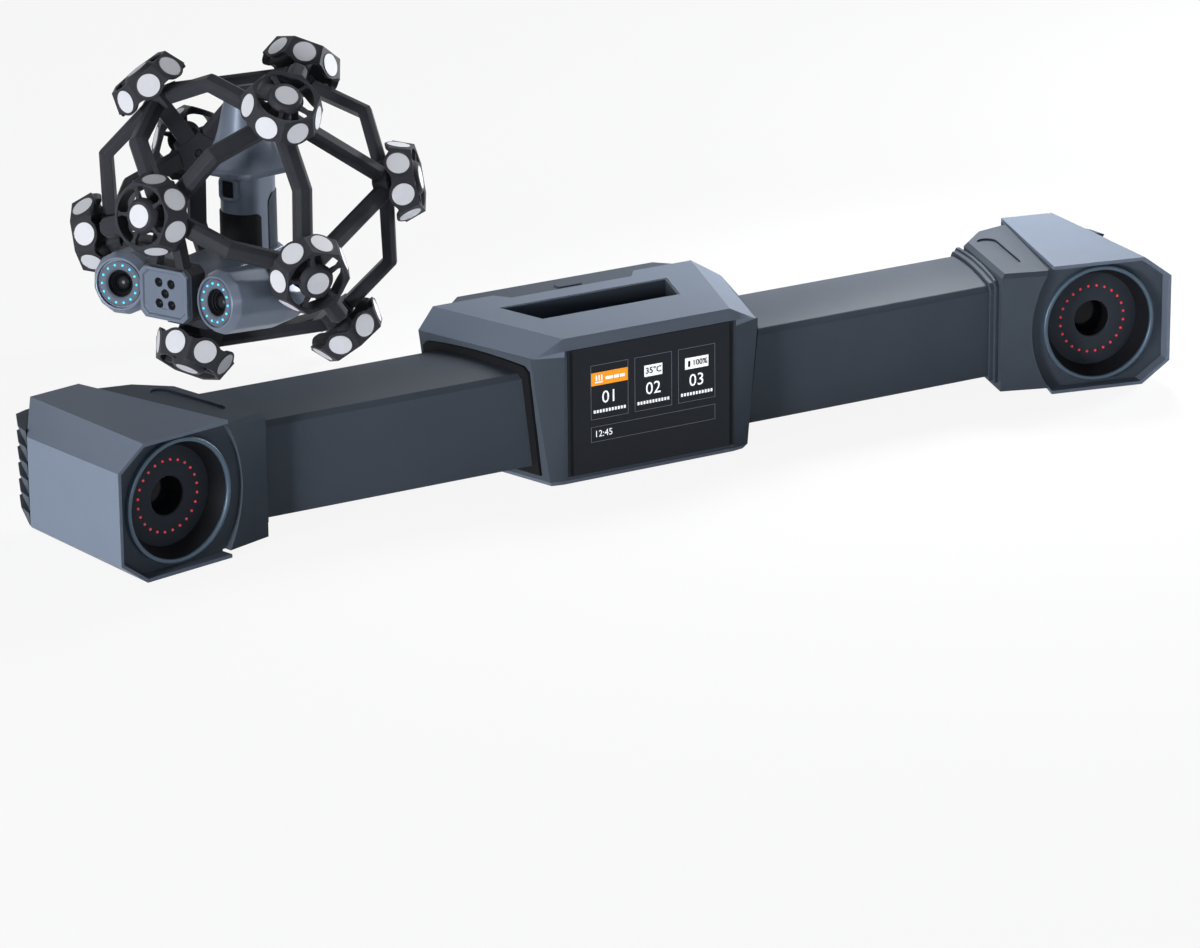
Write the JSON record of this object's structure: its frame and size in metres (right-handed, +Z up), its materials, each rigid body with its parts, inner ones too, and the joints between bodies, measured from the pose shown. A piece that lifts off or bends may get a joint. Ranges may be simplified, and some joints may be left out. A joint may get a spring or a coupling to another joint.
{
  "type": "optical tracking three-d scanner",
  "caption": "Two-camera tracker bar with a display housing, and a hand scanner inside a cage of marker pods, standing on one surface.",
  "frame": {"origin": "mouth of the tripod thread under the centre housing, on the surface that both units stand on", "axes": "+X along the tracker bar, -Y the side that the cameras and the display look to, +Z up"},
  "size_m": [1.1844, 0.7179, 0.3177],
  "materials": {
    "dark_shell": "moulded dark charcoal plastic, fine texture",
    "light_cover": "satin blue-grey paint",
    "beam_paint": "satin charcoal paint on an aluminium tube",
    "gasket": "black moulded rubber",
    "display": "black cover glass",
    "inner_plastic": "plain black plastic",
    "button": "matt black key",
    "steel": "turned steel",
    "alloy": "milled aluminium",
    "board": "circuit board laminate",
    "ring_paint": "satin blue-grey ring",
    "led_plate": "matt black plate",
    "lens_glass": "coated glass",
    "cage_black": "matt black moulding",
    "scanner_paint": "satin blue-grey paint",
    "grip_rubber": "soft black grip rubber"
  },
  "bodies": {
    "tracker": {"front_shell": "dark_shell", "display_glass": "display", "display_module": "inner_plastic", "beam_gaskets": "gasket", "top_cover": "light_cover", "handle_liner": "dark_shell", "rear_cover": "dark_shell", "socket_panel": "inner_plastic", "sockets": "steel", "bottom_cover": "light_cover", "tripod_insert": "steel", "centre_frame": "alloy", "main_board": "board", "beam_left": "beam_paint", "beam_right": "beam_paint", "neck_collar_left": "gasket", "neck_collar_right": "gasket", "head_shell_left": "dark_shell", "head_shell_right": "dark_shell", "hood_left": "light_cover", "hood_right": "light_cover", "camera_core_left": "alloy", "camera_core_right": "alloy", "rear_fins_left": "dark_shell", "rear_fins_right": "dark_shell", "window_rings": "ring_paint", "led_plates": "led_plate", "lens_barrels": "inner_plastic", "camera_lenses": "lens_glass"},
    "power_key": {"power_button": "button"},
    "hand_scanner": {"marker_pods_top": "cage_black", "marker_pods_upper": "cage_black", "marker_pods_lower": "cage_black", "marker_pods_foot": "cage_black", "cage_hubs": "cage_black", "cage_struts_top": "cage_black", "cage_struts_upper": "cage_black", "cage_struts_lower": "cage_black", "handle_shell": "scanner_paint", "grip_pad": "grip_rubber", "handle_spine": "inner_plastic", "bell_housing": "scanner_paint", "top_socket": "inner_plastic", "camera_barrel_left": "scanner_paint", "camera_barrel_right": "scanner_paint", "led_rings": "ring_paint", "scanner_eyes": "lens_glass", "laser_block": "scanner_paint", "laser_windows": "lens_glass", "scanner_head": "scanner_paint", "head_keel": "cage_black", "front_tie": "cage_black", "chin_bracket": "cage_black", "side_lugs": "cage_black", "clamp_screw": "steel"},
    "trigger_key": {"trigger": "button"}
  },
  "joints": [
    {"name": "power_press", "type": "slide", "parent": "tracker", "child": "power_key", "axis": [0, 0, -1], "range_m": [0, 0.0015], "stiffness_N_per_m": 600},
    {"name": "scanner_lift", "type": "slide", "parent": "tracker", "child": "hand_scanner", "axis": [0, 0, 1], "range_m": [0, 0.3]},
    {"name": "trigger_pull", "type": "slide", "parent": "hand_scanner", "child": "trigger_key", "axis": [0.9015, 0.4329, 0], "range_m": [0, 0.003], "stiffness_N_per_m": 500}
  ]
}
